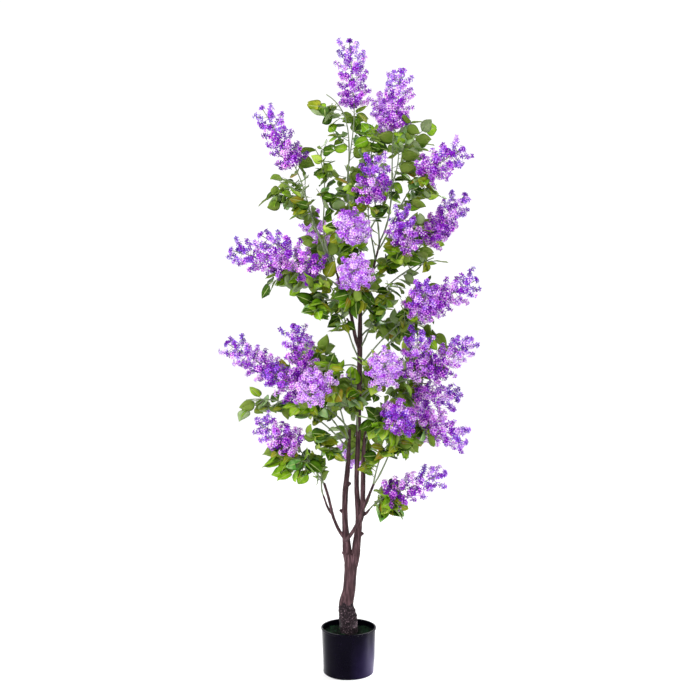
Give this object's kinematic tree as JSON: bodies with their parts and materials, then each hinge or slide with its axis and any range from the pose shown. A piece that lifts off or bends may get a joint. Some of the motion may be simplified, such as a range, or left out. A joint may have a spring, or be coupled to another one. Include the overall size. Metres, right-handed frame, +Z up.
{
  "type": "potted artificial lilac tree",
  "caption": "Slim artificial lilac tree with a forked woody trunk, wire-stemmed sprays of leaves and purple blossom panicles, standing in a round black pot.",
  "frame": {"origin": "centre of the pot's flat underside", "axes": "+Z up along the tree, -Y towards the front, +X to the right"},
  "size_m": [0.742, 0.603, 1.8103],
  "materials": {
    "pot": "thin moulded black plastic, glossy",
    "filling": "cement that the trunk is cast in, under a layer of dark green moss",
    "bark": "reddish brown bark with fine lengthwise grooves, greyer and rougher at the foot",
    "blossom_spray": "purple and lilac fabric florets with green fabric leaves on a pale green wire stem",
    "leafy_spray": "green fabric leaves on a pale green wire stem"
  },
  "bodies": {
    "root": {"pot": "pot", "filling": "filling", "trunk": "bark", "stem_left": "bark", "stem_middle": "bark", "stem_right": "bark", "bough_low_left": "bark", "bough_low_left_fork": "bark", "bough_low_right": "bark", "bough_bottom_right": "bark", "bough_upper_left": "bark", "bough_upper_left_fork": "bark", "bough_top_right": "bark", "spray_top": "blossom_spray", "spray_top_right": "blossom_spray", "spray_high_left": "blossom_spray", "spray_high_right": "blossom_spray", "spray_high_front": "blossom_spray", "spray_high_back": "blossom_spray", "spray_upper_front": "blossom_spray", "spray_upper_right": "blossom_spray", "spray_upper_right_front": "blossom_spray", "spray_upper_right_back": "blossom_spray", "spray_upper_back_left": "blossom_spray", "spray_upper_left": "blossom_spray", "spray_upper_left_front": "blossom_spray", "spray_middle_front": "blossom_spray", "spray_middle_back": "blossom_spray", "spray_middle_right": "blossom_spray", "spray_middle_right_front": "blossom_spray", "spray_middle_right_back": "blossom_spray", "spray_lower_right_front": "blossom_spray", "spray_lower_right_out": "blossom_spray", "spray_lower_front_right": "blossom_spray", "spray_lower_right": "blossom_spray", "spray_lower_front_low": "blossom_spray", "spray_bottom_right": "blossom_spray", "spray_low_right": "blossom_spray", "spray_lower_left_out": "blossom_spray", "spray_lower_left": "blossom_spray", "spray_lower_left_back": "blossom_spray", "spray_lower_front_left": "blossom_spray", "spray_low_left": "blossom_spray", "spray_low_back": "blossom_spray", "spray_lower_back": "blossom_spray", "spray_lower_left_front": "blossom_spray", "spray_low_back_right": "blossom_spray", "leaves_low_left": "leafy_spray", "leaves_left": "leafy_spray", "leaves_top_left": "leafy_spray", "leaves_top_right": "leafy_spray", "leaves_high_left": "leafy_spray", "leaves_high_far_left": "leafy_spray", "leaves_high_back": "leafy_spray", "leaves_upper_left": "leafy_spray", "leaves_upper_right": "leafy_spray", "leaves_middle_right": "leafy_spray", "leaves_low_front": "leafy_spray", "leaves_low_middle": "leafy_spray", "leaves_lower_right": "leafy_spray"}
  },
  "joints": []
}
